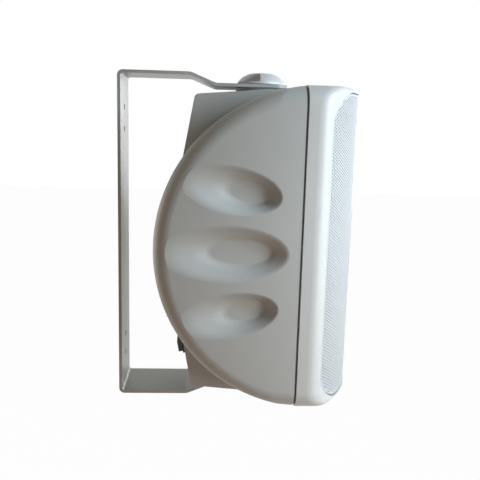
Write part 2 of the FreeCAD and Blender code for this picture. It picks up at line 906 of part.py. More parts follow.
def make_woofer_dust_cap():
    slope = cone_depth / (cone_edge_radius - coil_outer)
    base = cone_root + cone_sheet + (dust_cap_radius - coil_outer) * slope + seat_gap
    return cap_shell(dust_cap_radius, dust_cap_height, cone_sheet, base, 0, woofer_z)


def make_woofer_spider():
    """A flat flexible disc between the coil and the basket, with three ring-shaped folds."""
    low = basket_rear + spider_lift
    lean = (basket_bore - basket_rear_radius + basket_sheet) / (basket_depth - basket_sheet / 2)
    outer = basket_rear_radius - basket_sheet + (spider_lift - basket_sheet) * lean - loose_gap
    inner = coil_outer + loose_gap
    upper = []
    lower = []
    for count in range(spider_folds + 1):
        radius = inner + (outer - inner) * count / spider_folds
        lift = spider_sheet if count % 2 else 0.0
        upper.append((radius, low + lift + spider_sheet))
        lower.append((radius, low + lift))
    return turned(lower + upper[::-1], 0, woofer_z)


# Tweeter
def tweeter_screw_places():
    circle = tweeter_radius - screw_circle_inset
    return [(side * circle * math.sqrt(0.5), tweeter_z + up * circle * math.sqrt(0.5))
            for side in (-1, 1) for up in (-1, 1)]


tweeter_bore = dome_radius + dome_edge + loose_gap
tweeter_coil_outer = dome_radius
dome_base = tweeter_front - dome_setback


def make_tweeter_face():
    front = tweeter_front
    face = turned([
        (tweeter_radius, panel_front),
        (tweeter_radius, front),
        (tweeter_bore + 2 * dome_edge, front),
        (tweeter_bore, front - dome_setback),
        (tweeter_bore, panel_front),
    ], 0, tweeter_z)
    for x, z in tweeter_screw_places():
        face = face.cut(rod_along_reach(x, z, screw_radius + loose_gap, panel_front, front))
    return face


def make_tweeter_motor():
    bore = tweeter_coil_outer + loose_gap
    pole = tweeter_coil_outer - coil_wall - loose_gap
    plate_rear = panel_front - tweeter_plate_thickness
    magnet_rear = plate_rear - tweeter_magnet_thickness
    yoke_rear = magnet_rear - tweeter_yoke_thickness
    radius = tweeter_motor_radius
    plate = tube_along_reach(0, tweeter_z, radius, bore, plate_rear, panel_front)
    magnet = tube_along_reach(0, tweeter_z, radius, bore + magnetic_gap, magnet_rear, plate_rear)
    yoke = rod_along_reach(0, tweeter_z, radius, yoke_rear, magnet_rear)
    yoke = yoke.fuse(rod_along_reach(0, tweeter_z, pole, magnet_rear, panel_front - loose_gap))
    return plate, magnet, yoke


def make_tweeter_dome():
    dome = cap_shell(dome_radius, dome_height, dome_sheet, dome_base, 0, tweeter_z)
    edge = tube_along_reach(0, tweeter_z, dome_radius + dome_edge, dome_radius - 2 * dome_sheet,
                            dome_base - dome_sheet, dome_base)
    return dome.fuse(edge)


def make_tweeter_coil():
    front = dome_base - dome_sheet
    return tube_along_reach(0, tweeter_z, tweeter_coil_outer, tweeter_coil_outer - coil_wall,
                            front - tweeter_coil_length, front)


# Ports, crossover and leads
def make_port(side):
    x = side * port_offset
    outer = port_radius + port_wall
    tube = rod_along_reach(x, port_rise, outer, panel_front - port_length, panel_front)
    rim = rod_along_reach(x, port_rise, outer + port_flange, panel_front, panel_front + port_wall)
    tube = tube.fuse(rim)
    return tube.cut(rod_along_reach(x, port_rise, port_radius, 0, far_front))


def make_board():
    board = block(-board_width / 2, board_width / 2, board_rear, board_front,
                  board_rise - board_height / 2, board_rise + board_height / 2)
    for x, z in board_screw_places():
        board = board.cut(rod_along_reach(x, z, screw_radius + loose_gap, board_rear, board_front))
    return board


def make_choke():
    z = board_rise + choke_rise
    return tube_along_reach(choke_x, z, choke_radius, choke_bore, board_front, board_front + choke_height)


def make_capacitor():
    left = capacitor_x - capacitor_length / 2
    start = at(left, board_front + capacitor_radius, board_rise + capacitor_rise)
    return Part.makeCylinder(capacitor_radius, capacitor_length, start, Vector(1, 0, 0))


def make_resistor():
    left = resistor_x - resistor_length / 2
    low = board_rise - resistor_drop - resistor_side / 2
    front = board_front + resistor_side
    return block(left, left + resistor_length, board_front, front, low, low + resistor_side)


def make_woofer_leads():
    leads = []
    ring = (magnet_radius + basket_rear_radius) / 2
    for side in (-1, 1):
        x = side * woofer_lead_x
        low = woofer_z + math.sqrt(ring ** 2 - x ** 2)
        high = board_rise - woofer_lead_drop
        leads.append(lead([
            at(x, board_front, high),
            at(x, board_front + lead_run, high),
            at(x, basket_rear - lead_run, low),
            at(x, basket_rear, low),
        ]))
    return Part.makeCompound(leads)


def make_tweeter_leads():
    leads = []
    end = panel_front - tweeter_plate_thickness - tweeter_magnet_thickness - tweeter_yoke_thickness
    for side in (-1, 1):
        x = side * tweeter_lead_x
        low = board_rise + tweeter_lead_rise
        leads.append(lead([
            at(x, board_front, low),
            at(x, board_front + lead_run, low),
            at(x, end - lead_run, tweeter_z),
            at(x, end, tweeter_z),
        ]))
    return Part.makeCompound(leads)


def make_terminal_leads():
    leads = []
    for side in (-1, 1):
        depth = terminal_body_depth + contact_tail
        tail = in_terminal(side * lever_spacing / 2, -depth, 0)
        run = (woofer_yoke_rear + tail.y) / 2
        inside = in_terminal(side * lever_spacing / 2, -depth - run, 0)
        x = side * terminal_lead_x
        high = board_rise - terminal_lead_drop
        leads.append(lead([
            tail,
            inside,
            Vector(x, inside.y, high - terminal_lead_climb),
            at(x, board_front + lead_run, high),
            at(x, board_front, high),
        ]))
    return Part.makeCompound(leads)


# Terminal: drawn flat with +Y out of the case, then leaned on the sloped rear face
def terminal_placement():
    base = at(0, spine_point_z(terminal_z), terminal_z)
    return FreeCAD.Placement(base, FreeCAD.Rotation(Vector(1, 0, 0), -spine_slope_deg))


def in_terminal(x, out, up):
    return terminal_placement().multVec(Vector(x, out, up))


def seated(shape):
    placed = shape.copy()
    placed.Placement = terminal_placement().multiply(placed.Placement)
    return placed


def flat_block(x_low, x_high, out_low, out_high, up_low, up_high):
    corner = Vector(x_low, out_low, up_low)
    return Part.makeBox(x_high - x_low, out_high - out_low, up_high - up_low, corner)


def flat_rod(x, up, radius, out_low, out_high):
    return Part.makeCylinder(radius, out_high - out_low, Vector(x, out_low, up), Vector(0, 1, 0))


terminal_top = lever_height / 2 + terminal_lip
terminal_bottom = terminal_top - terminal_height
body_half_width = terminal_width / 2 - 2 * terminal_lip
pin_up = lever_height / 2 - lever_pin_inset
pin_out = terminal_plate + lever_pin_inset


def terminal_body(grow):
    return flat_block(-body_half_width - grow, body_half_width + grow, -terminal_body_depth, grow,
                      terminal_bottom + terminal_lip - grow, terminal_top - terminal_lip / 2 + grow)


def terminal_cutout():
    cutters = [seated(terminal_body(face_gap))]
    tip = terminal_plate - terminal_screw_length - pilot_spare
    for x, up in terminal_screw_places():
        cutters.append(seated(flat_rod(x, up, screw_radius + running_gap, tip, terminal_plate)))
    return cutters


def terminal_screw_places():
    x = terminal_width / 2 - terminal_lip
    up = (terminal_top + terminal_bottom) / 2
    return [(-x, up), (x, up)]


def lever_places():
    return [-lever_spacing / 2, lever_spacing / 2]


def make_terminal_housing():
    half_plate = terminal_width / 2
    housing = flat_block(-half_plate, half_plate, 0, terminal_plate, terminal_bottom, terminal_top)
    housing = housing.fuse(terminal_body(0))
    half = lever_width / 2 + loose_gap
    for x in lever_places():
        for side in (-1, 1):
            inner = x + side * half
            outer = inner + side * lever_ear
            ear = flat_block(min(inner, outer), max(inner, outer), terminal_plate, pin_out + lever_pin_inset,
                             pin_up - lever_pin_inset, pin_up + lever_pin_inset)
            housing = housing.fuse(ear)
    for x in lever_places():
        pocket = flat_block(x - half, x + half, 2 * terminal_plate - terminal_body_depth, terminal_plate,
                            -lever_height / 2 - terminal_plate, lever_height / 2 + terminal_plate)
        pin_start = Vector(x - half - lever_ear, pin_out, pin_up)
        pin_length = 2 * (half + lever_ear)
        pin = Part.makeCylinder(lever_pin_radius + running_gap, pin_length, pin_start, Vector(1, 0, 0))
        wire_floor = terminal_plate - wire_hole_depth
        wire = flat_rod(x, -wire_hole_drop, wire_hole_radius, wire_floor, terminal_plate)
        slot = contact_strip(x, running_gap)
        housing = housing.cut([pocket, pin, wire, slot])
    for x, up in terminal_screw_places():
        housing = housing.cut(flat_rod(x, up, screw_radius + loose_gap, -case_wall, terminal_plate))
    return seated(housing)


def contact_strip(x, grow):
    half = contact_width / 2 + grow
    thick = contact_sheet / 2 + grow
    return flat_block(x - half, x + half, -terminal_body_depth - contact_tail,
                      2 * terminal_plate - terminal_body_depth + contact_sheet, -thick, thick)


def make_terminal_contacts():
    strips = [seated(contact_strip(x, 0)) for x in lever_places()]
    return Part.makeCompound(strips)


def make_lever(x):
    """A press lever on its cross pin; its lower end swings inwards."""
    half = lever_width / 2
    low = -lever_height / 2
    high = lever_height / 2
    inner = terminal_plate + face_gap
    corners = [
        Vector(x - half, inner, low),
        Vector(x - half, lever_proud, low),
        Vector(x - half, lever_proud, high - 2 * lever_pin_inset),
        Vector(x - half, pin_out + lever_pin_inset, high),
        Vector(x - half, inner, high),
    ]
    body = Part.Face(Part.makePolygon(corners + corners[:1])).extrude(Vector(lever_width, 0, 0))
    pin = Part.makeCylinder(lever_pin_radius, lever_width + 2 * lever_ear,
                            Vector(x - half - lever_ear, pin_out, pin_up), Vector(1, 0, 0))
    return seated(body.fuse(pin))


# Fasteners
def screw_group(places, seat, length):
    return Part.makeCompound([screw(x, z, seat, length) for x, z in places])


def make_terminal_screws():
    screws = []
    for x, up in terminal_screw_places():
        body = flat_rod(x, up, screw_head_radius, terminal_plate, terminal_plate + screw_head_height)
        tip = terminal_plate - terminal_screw_length
        body = body.fuse(flat_rod(x, up, screw_radius, tip, terminal_plate))
        arm = screw_head_radius - recess_width
        top = terminal_plate + screw_head_height
        half = recess_width / 2
        body = body.cut([
            flat_block(x - arm, x + arm, top - recess_depth, top, up - half, up + half),
            flat_block(x - half, x + half, top - recess_depth, top, up - arm, up + arm),
        ])
        screws.append(seated(body))
    return Part.makeCompound(screws)


def make_parts():
    woofer_plate, woofer_magnet, woofer_yoke = make_woofer_motor()
    tweeter_plate, tweeter_magnet, tweeter_yoke = make_tweeter_motor()
    friction_washer = make_friction_washer()
    knob_washer = make_knob_washer()
    insert = make_insert()
    knob = make_knob()
    stud = make_stud()
    return {
        "bracket": make_bracket(),
        "top_friction_washer": friction_washer,
        "bottom_friction_washer": mirrored_top(friction_washer),
        "top_knob_washer": knob_washer,
        "bottom_knob_washer": mirrored_top(knob_washer),
        "top_knob": knob,
        "bottom_knob": mirrored_top(knob),
        "top_stud": stud,
        "bottom_stud": mirrored_top(stud),
        "rear_case": make_rear_case(),
        "top_insert": insert,
        "bottom_insert": mirrored_top(insert),
        "case_seal": make_seal(),
        "front_frame": make_front_frame(),
        "grille": make_grille(),
        "woofer_basket": make_woofer_basket(),
        "woofer_top_plate": woofer_plate,
        "woofer_magnet": woofer_magnet,
        "woofer_yoke": woofer_yoke,
        "woofer_surround": make_woofer_surround(),
        "woofer_spider": make_woofer_spider(),
        "woofer_cone": make_woofer_cone(),
        "woofer_coil": make_woofer_coil(),
        "woofer_dust_cap": make_woofer_dust_cap(),
        "tweeter_face": make_tweeter_face(),
        "tweeter_top_plate": tweeter_plate,
        "tweeter_magnet": tweeter_magnet,
        "tweeter_yoke": tweeter_yoke,
        "tweeter_dome": make_tweeter_dome(),
        "tweeter_coil": make_tweeter_coil(),
        "left_port": make_port(-1),
        "right_port": make_port(1),
        "crossover_board": make_board(),
        "crossover_choke": make_choke(),
        "crossover_capacitor": make_capacitor(),
        "crossover_resistor": make_resistor(),
        "terminal_housing": make_terminal_housing(),
        "terminal_contacts": make_terminal_contacts(),
        "black_lever": make_lever(lever_places()[0]),
        "red_lever": make_lever(lever_places()[1]),
        "terminal_screws": make_terminal_screws(),
        "woofer_screws": screw_group(woofer_screw_places(), woofer_front, screw_length),
        "tweeter_screws": screw_group(tweeter_screw_places(), tweeter_front, screw_length),
        "frame_screws": screw_group(frame_screw_places(), panel_front, frame_screw_length),
        "board_screws": screw_group(board_screw_places(), board_front, board_screw_length),
        "terminal_leads": make_terminal_leads(),
        "woofer_leads": make_woofer_leads(),
        "tweeter_leads": make_tweeter_leads(),
    }


os.makedirs("parts", exist_ok=True)
for node, shape in make_parts().items():
    print(node, shape.isValid(), len(shape.Solids), round(shape.Volume, 1))
    shape.exportStep("parts/" + node + ".step")
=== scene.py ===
import math

import bmesh
import bpy
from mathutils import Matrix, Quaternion, Vector


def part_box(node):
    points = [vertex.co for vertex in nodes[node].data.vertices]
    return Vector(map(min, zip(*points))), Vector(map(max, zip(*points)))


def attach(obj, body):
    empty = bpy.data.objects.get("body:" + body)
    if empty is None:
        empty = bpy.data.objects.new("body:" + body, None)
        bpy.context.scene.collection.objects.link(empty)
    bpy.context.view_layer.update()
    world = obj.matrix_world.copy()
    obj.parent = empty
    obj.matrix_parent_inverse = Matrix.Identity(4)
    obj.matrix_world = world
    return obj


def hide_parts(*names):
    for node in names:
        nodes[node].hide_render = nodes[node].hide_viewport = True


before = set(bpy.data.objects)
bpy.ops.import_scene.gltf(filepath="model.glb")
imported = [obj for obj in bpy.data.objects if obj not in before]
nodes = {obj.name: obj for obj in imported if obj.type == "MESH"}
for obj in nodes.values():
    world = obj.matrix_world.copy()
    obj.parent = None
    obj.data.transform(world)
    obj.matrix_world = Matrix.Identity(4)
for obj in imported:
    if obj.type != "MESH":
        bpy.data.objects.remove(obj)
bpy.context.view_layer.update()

scene = bpy.context.scene
mm = 0.001


def hexColour(code):    # sRGB hex to the linear colour that the shaders take
    channels = [int(code[i:i + 2], 16) / 255 for i in (1, 3, 5)]
    linear = [c / 12.92 if c <= 0.04045 else ((c + 0.055) / 1.055) ** 2.4 for c in channels]
    return (*linear, 1.0)


def addNode(tree, kind, settings=None, inputs=None):    # a list of sockets goes to one multi-input
    node = tree.nodes.new(kind)
    for name, value in (settings or {}).items():
        setattr(node, name, value)
    for socket, value in (inputs or {}).items():
        for source in value if isinstance(value, list) else [value]:
            if isinstance(source, bpy.types.NodeSocket):
                tree.links.new(source, node.inputs[socket])
            else:
                node.inputs[socket].default_value = source
    return node


def maths(tree, operation, *terms):    # one Math node, whose terms are numbers or sockets
    return addNode(tree, "ShaderNodeMath", {"operation": operation}, dict(enumerate(terms))).outputs[0]


def vectorMaths(tree, operation, *terms):
    return addNode(tree, "ShaderNodeVectorMath", {"operation": operation}, dict(enumerate(terms))).outputs


def perMm(size):    # noise scale that gives one feature in so many millimetres
    return 1 / (size * mm)


def waveScale(size):    # a wave turns 20 radians per unit, so each is 6.3 times this size in mm
    return perMm(size) / 20


def startFinish(name):
    material = bpy.data.materials.new(name)
    material.use_nodes = True
    material.node_tree.nodes.clear()
    return material, material.node_tree


def objectPoint(tree):
    return addNode(tree, "ShaderNodeTexCoord").outputs["Object"]


def blendTones(tree, share, tones):
    mix = addNode(tree, "ShaderNodeMix", {"data_type": "RGBA"}, {
        0: share, 6: hexColour(tones[0]), 7: hexColour(tones[1])})
    return mix.outputs[2]


def varyGloss(tree, value, roughness):
    return addNode(tree, "ShaderNodeMapRange", inputs={
        "Value": value, "To Min": roughness[0], "To Max": roughness[1]}).outputs[0]


def addRelief(tree, height, depthMm, invert=False):
    return addNode(tree, "ShaderNodeBump", {"invert": invert}, {
        "Height": height, "Distance": depthMm * mm, "Strength": 1.0}).outputs[0]


def closeFinish(material, look, inputs):
    tree = material.node_tree
    shader = addNode(tree, "ShaderNodeBsdfPrincipled", inputs=inputs | look["shader"])
    addNode(tree, "ShaderNodeOutputMaterial", inputs={"Surface": shader.outputs["BSDF"]})
    return material


# two close tones that drift over the piece, and one grain that breaks up gloss and relief
def grainFinish(name, look):
    material, tree = startFinish(name)
    point = objectPoint(tree)
    drift = addNode(tree, "ShaderNodeTexNoise", inputs={
        "Vector": point, "Scale": perMm(look["driftMm"]), "Detail": 2.0}).outputs["Fac"]
    grain = addNode(tree, "ShaderNodeTexNoise", inputs={
        "Vector": point, "Scale": perMm(look["grainMm"]), "Detail": 3.0, "Roughness": 0.55}).outputs["Fac"]
    return closeFinish(material, look, {
        "Base Color": blendTones(tree, drift, look["tones"]),
        "Roughness": varyGloss(tree, grain, look["roughness"]),
        "Normal": addRelief(tree, grain, look["reliefMm"])})


# turned metal: fine rings of the tool round the axis, which draw the highlight out into bands
def turnedFinish(name, look):
    material, tree = startFinish(name)
    rings = addNode(tree, "ShaderNodeTexWave", {"bands_direction": look["along"]}, {
        "Vector": objectPoint(tree), "Scale": waveScale(look["ringMm"]),
        "Distortion": 0.6, "Detail": 2.0}).outputs["Fac"]
    return closeFinish(material, look, {
        # the colour follows the rings too: on the wound coil the paler tone is a painted highlight on each
        # turn
        "Base Color": blendTones(tree, rings, look["tones"]),
        "Roughness": varyGloss(tree, rings, look["roughness"]),
        "Normal": addRelief(tree, rings, look["reliefMm"])})


# woven cloth: warp and weft as two crossed waves, high where they cross
def wovenFinish(name, look):
    material, tree = startFinish(name)
    point = objectPoint(tree)
    threads = []
    for direction in ("X", "Z"):
        wave = addNode(tree, "ShaderNodeTexWave", {"bands_direction": direction}, {
            "Vector": point, "Scale": waveScale(look["threadMm"]), "Distortion": 0.4})
        threads.append(wave.outputs["Fac"])
    weave = maths(tree, "MULTIPLY", *threads)
    return closeFinish(material, look, {
        "Base Color": blendTones(tree, weave, look["tones"]),
        "Normal": addRelief(tree, weave, look["reliefMm"])})


# circuit laminate: green lacquer, with the copper tracks under it as paler lanes
def laminateFinish(name, look):
    material, tree = startFinish(name)
    upright = addNode(tree, "ShaderNodeMapping", inputs={
        "Vector": objectPoint(tree), "Rotation": (math.radians(90), 0, 0)}).outputs[0]
    lanes = addNode(tree, "ShaderNodeTexBrick", {"offset": 0.5}, {
        "Vector": upright, "Scale": 1.0,
        "Brick Width": look["trackMm"][0] * mm, "Row Height": look["trackMm"][1] * mm,
        "Mortar Size": look["gapMm"] * mm, "Color1": hexColour(look["tones"][0]),
        "Color2": hexColour(look["tones"][1]), "Mortar": hexColour(look["tones"][2])}).outputs
    return closeFinish(material, look, {
        "Base Color": lanes["Color"],
        "Normal": addRelief(tree, lanes["Fac"], look["reliefMm"], invert=True)})


# soft insulation: red on the +X side of the middle, black on the other, with dull flex marks
def leadFinish(name, look):
    material, tree = startFinish(name)
    point = objectPoint(tree)
    across = addNode(tree, "ShaderNodeSeparateXYZ", inputs={0: point}).outputs["X"]
    redSide = maths(tree, "GREATER_THAN", across, 0.0)
    marks = addNode(tree, "ShaderNodeTexNoise", inputs={
        "Vector": point, "Scale": perMm(look["markMm"])}).outputs["Fac"]
    return closeFinish(material, look, {
        "Base Color": blendTones(tree, redSide, look["tones"]),
        "Roughness": varyGloss(tree, marks, look["roughness"])})


finishes = {}

# ABS, injection moulded against a fine spark-eroded skin: satin, with a broad soft highlight.
# The real grain is near 0.2 mm and would not show, so it is drawn at about 1 mm.
finishes["case_plastic"] = grainFinish("mouldedAbsGrey", {
    "tones": ("#CFD2D1", "#C8CBCA"), "driftMm": 75, "grainMm": 1.1, "reliefMm": 0.02,
    "roughness": (0.42, 0.54), "shader": {"IOR": 1.53}})
# the same ABS as the case from a smoother mould, so the bezel is a little glossier; its paler tones are
# painted light, standing in for the stronger front light on the bezel
finishes["frame_plastic"] = grainFinish("mouldedAbsPale", {
    "tones": ("#E1E4E4", "#DBDEDE"), "driftMm": 75, "grainMm": 1.1, "reliefMm": 0.012,
    "roughness": (0.34, 0.44), "shader": {"IOR": 1.53}})
# near-white ABS, handled a lot: polished by fingers, so the crown shines
finishes["knob_plastic"] = grainFinish("mouldedAbsWhite", {
    "tones": ("#F2F3F6", "#EAEBF0"), "driftMm": 18, "grainMm": 0.9, "reliefMm": 0.008,
    "roughness": (0.26, 0.36), "shader": {"IOR": 1.53}})
# the wire clips' ABS: dark enough to lose its form, with small satin glints along the edges
finishes["black_plastic"] = grainFinish("mouldedAbsBlack", {
    "tones": ("#0C0C0D", "#141416"), "driftMm": 14, "grainMm": 0.8, "reliefMm": 0.012,
    "roughness": (0.38, 0.5), "shader": {"IOR": 1.53}})
# the same in a deep signal red, a little glossier
finishes["red_plastic"] = grainFinish("mouldedAbsRed", {
    "tones": ("#B3201C", "#A01A18"), "driftMm": 14, "grainMm": 0.8, "reliefMm": 0.012,
    "roughness": (0.34, 0.46), "shader": {"IOR": 1.53}})
# polyester powder on steel sheet: the melt leaves a shallow orange peel under a satin gloss; the grey is
# darkened as painted shade, for the shadow the speaker casts on the bracket's arms
finishes["bracket_steel"] = grainFinish("powderCoatGrey", {
    "tones": ("#C0C4C2", "#B8BCBA"), "driftMm": 60, "grainMm": 2.4, "reliefMm": 0.035,
    "roughness": (0.3, 0.4), "shader": {"IOR": 1.5}})
# a thinner coat of the same powder, so the holes stay open and the sheet looks smooth; it is paler than the
# bracket, whose grey carries painted shade
finishes["grille_steel"] = grainFinish("powderCoatPale", {
    "tones": ("#D2D5D8", "#CBCED1"), "driftMm": 60, "grainMm": 2.0, "reliefMm": 0.01,
    "roughness": (0.36, 0.46), "shader": {"IOR": 1.5}})
# closed-cell rubber: a dull mid grey with no clear highlight, which its narrow joint keeps dark
finishes["seal_rubber"] = grainFinish("cellularRubber", {
    "tones": ("#828584", "#8C8F8E"), "driftMm": 9, "grainMm": 0.7, "reliefMm": 0.05,
    "roughness": (0.75, 0.9), "shader": {"IOR": 1.5}})
# butyl roll: black, with one soft line of sheen along its crest
finishes["surround_rubber"] = grainFinish("butylRubber", {
    "tones": ("#1A1A1B", "#222223"), "driftMm": 12, "grainMm": 0.8, "reliefMm": 0.02,
    "roughness": (0.55, 0.68), "shader": {"IOR": 1.5}})
# zinc-plated steel, cold and bright, and brass, warm: both turned, so the light runs in bands
finishes["bright_steel"] = turnedFinish("zincPlatedSteel", {
    "tones": ("#C9CBCE", "#B8BBBF"), "ringMm": 0.5, "along": "Z", "reliefMm": 0.01,
    "roughness": (0.26, 0.38), "shader": {"Metallic": 1.0}})
finishes["insert_brass"] = turnedFinish("turnedBrass", {
    "tones": ("#D6B46A", "#C7A255"), "ringMm": 0.8, "along": "Z", "reliefMm": 0.02,
    "roughness": (0.28, 0.4), "shader": {"Metallic": 1.0}})
# enamelled copper wire, wound: each turn is a ridge in the relief, and its paler copper tone is a painted
# highlight along every turn
finishes["coil_copper"] = turnedFinish("woundCopperWire", {
    "tones": ("#8A4A26", "#C97D4A"), "ringMm": 0.5, "along": "Y", "reliefMm": 0.12,
    "roughness": (0.24, 0.36), "shader": {"Metallic": 1.0, "Coat Weight": 0.4}})
# black oxide leaves a thin dark skin with the steel's own sheen under it
finishes["black_screws"] = grainFinish("blackOxideSteel", {
    "tones": ("#232325", "#2E2E31"), "driftMm": 5, "grainMm": 0.6, "reliefMm": 0.01,
    "roughness": (0.3, 0.45), "shader": {"Metallic": 0.6}})
# stove enamel over pressed sheet: near black, with a wide soft highlight
finishes["basket_steel"] = grainFinish("enamelledSheetSteel", {
    "tones": ("#1E1F20", "#282A2B"), "driftMm": 25, "grainMm": 1.6, "reliefMm": 0.02,
    "roughness": (0.34, 0.46), "shader": {"IOR": 1.5}})
# fired pieces: ferrite is ground and dark, the resistor's cement body is chalky
finishes["ferrite"] = grainFinish("groundFerrite", {
    "tones": ("#3A3A3D", "#47474B"), "driftMm": 11, "grainMm": 0.9, "reliefMm": 0.03,
    "roughness": (0.5, 0.7), "shader": {"IOR": 1.9}})
finishes["resistor_ceramic"] = grainFinish("cementedCeramic", {
    "tones": ("#E6E2D4", "#DAD5C4"), "driftMm": 6, "grainMm": 0.7, "reliefMm": 0.06,
    "roughness": (0.75, 0.9), "shader": {"IOR": 1.6}})
# pressed pulp: short fibres lie every way, so the cone is mottled and never shines
finishes["cone_paper"] = grainFinish("pressedPaperPulp", {
    "tones": ("#232426", "#34363A"), "driftMm": 3.5, "grainMm": 0.9, "reliefMm": 0.08,
    "roughness": (0.8, 0.95), "shader": {"IOR": 1.45}})
# shrunk polyester film: smooth and glassy over an amber winding
finishes["capacitor_film"] = grainFinish("polyesterFilm", {
    "tones": ("#C79A2E", "#B8871F"), "driftMm": 8, "grainMm": 4.0, "reliefMm": 0.03,
    "roughness": (0.14, 0.22), "shader": {"IOR": 1.6, "Coat Weight": 0.5}})
# cotton stiffened with resin, and coated silk: both dull, with the threads just showing
finishes["spider_cloth"] = wovenFinish("resinedCotton", {
    "tones": ("#9C7F4C", "#C9AD74"), "threadMm": 0.9, "reliefMm": 0.15,
    "shader": {"Roughness": 0.85, "Sheen Weight": 0.2}})
finishes["dome_silk"] = wovenFinish("coatedSilk", {
    "tones": ("#1B1B1D", "#2A2A2D"), "threadMm": 0.6, "reliefMm": 0.06,
    "shader": {"Roughness": 0.5, "Sheen Weight": 0.15}})
# lacquer over glass cloth: smooth and green, with faint tracks
finishes["board_laminate"] = laminateFinish("lacqueredLaminate", {
    "tones": ("#2E6B40", "#296139", "#1E4A2B"), "trackMm": (16, 5), "gapMm": 0.6, "reliefMm": 0.04,
    "shader": {"Roughness": 0.32, "IOR": 1.55}})
# soft PVC: a waxy sheen, one lead of each pair red and one black
finishes["lead_insulation"] = leadFinish("softPvc", {
    "tones": ("#161617", "#9A1F1C"), "markMm": 4, "roughness": (0.38, 0.52), "shader": {"IOR": 1.54}})

# the two friction washers are cast nylon, paler than the seal and slightly waxy
washerNylon = grainFinish("castNylon", {
    "tones": ("#BFC3C2", "#B4B8B7"), "driftMm": 12, "grainMm": 0.9, "reliefMm": 0.01,
    "roughness": (0.45, 0.58), "shader": {"IOR": 1.53}})
for name, node in nodes.items():
    slotName = node.material_slots[0].material.name
    node.data.materials[0] = washerNylon if name.endswith("friction_washer") else finishes[slotName]
print("finishes:", len(finishes), "on", len(nodes), "nodes")


# the grille: one bowed steel sheet with staggered round holes and a turned-back edge
grille = {
    "bowRadius": 112.2 * mm,
    "corner": 25.0 * mm,
    "sheet": 0.8 * mm,
    "flange": 3.5 * mm,
    "edgeBend": 0.9 * mm,        # outer radius where the sheet turns back
    "border": 0.3 * mm,          # plain strip between the bend and the first holes
    "pitch": 2.45 * mm,
    "holeRadius": 0.62 * mm,
    "holeSides": 8,
    "outlineStep": 2.0 * mm,
    "cornerSteps": 12,
    "stripColumns": 6,           # the sheet is filled in upright strips this many columns wide
    "weld": 0.001 * mm,          # points closer than this become one
    "bendSteps": 5,
    "sheetSharpDeg": 30,
    "rimSharpDeg": 40,
}
grilleLow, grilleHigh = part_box("grille")
grille["halfWidth"] = grilleHigh.x
grille["halfHeight"] = grilleHigh.z
grille["bowCentre"] = -grilleLow.y - grille["bowRadius"]    # reach of the bow's axis from the wall


def spread(start, end, step):    # even points from start up to, but not at, end
    count = max(1, round(abs(end - start) / step))
    return [start + (end - start) * i / count for i in range(count)]


def quarter(centreX, centreZ, radius, startDegrees):
    steps = grille["cornerSteps"]
    angles = [math.radians(startDegrees + 90 * i / steps) for i in range(steps)]
    return [(centreX + radius * math.cos(a), centreZ + radius * math.sin(a)) for a in angles]


# the right half of the grille's outline from the front, from its lower edge round to the upper one
def rightOutline(inset):
    radius = grille["corner"] - inset
    innerX = grille["halfWidth"] - grille["corner"]
    innerZ = grille["halfHeight"] - grille["corner"]
    side = grille["halfWidth"] - inset
    end = grille["halfHeight"] - inset
    step = grille["outlineStep"]
    points = [(x, -end) for x in spread(0, innerX, step)]
    points += quarter(innerX, -innerZ, radius, -90)
    points += [(side, z) for z in spread(-innerZ, innerZ, step)]
    points += quarter(innerX, innerZ, radius, 0)
    points += [(x, end) for x in spread(innerX, 0, step)]
    return points + [(0, end)]


